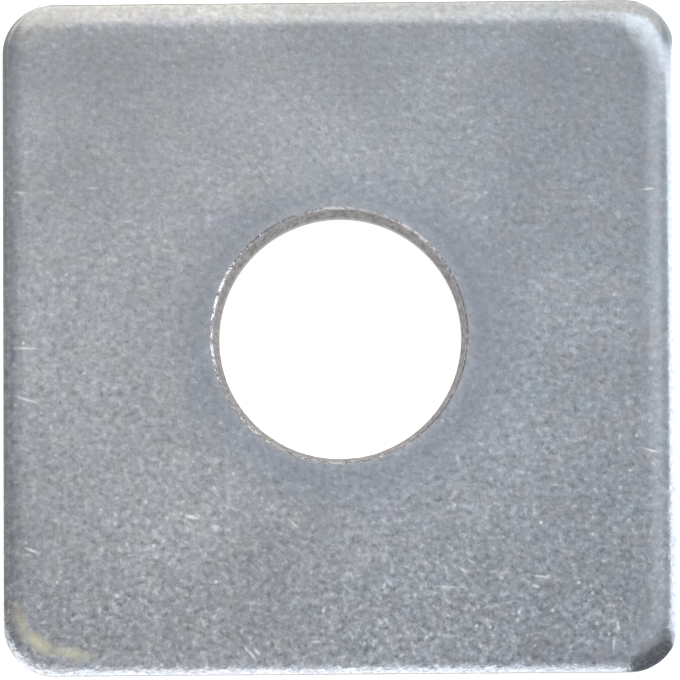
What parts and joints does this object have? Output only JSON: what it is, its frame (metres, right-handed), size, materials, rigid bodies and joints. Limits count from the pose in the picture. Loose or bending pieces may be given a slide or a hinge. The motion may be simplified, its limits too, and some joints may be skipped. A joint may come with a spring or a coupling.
{
  "type": "square plate washer",
  "caption": "Square plate washer with rounded corners, a rolled-over top edge and a central pierced bore that spreads a bolt's load over timber or channel.",
  "frame": {"origin": "centre of the flat burr face, on the bore's axis", "axes": "+Z along the bore and out of the rolled-over face, X and Y square to the sides"},
  "size_m": [0.05, 0.05, 0.005],
  "materials": {
    "zinc_plated_steel": "electroplated zinc with a clear bluish passivation, satin and finely grained"
  },
  "bodies": {
    "root": {"washer": "zinc_plated_steel"}
  },
  "joints": []
}
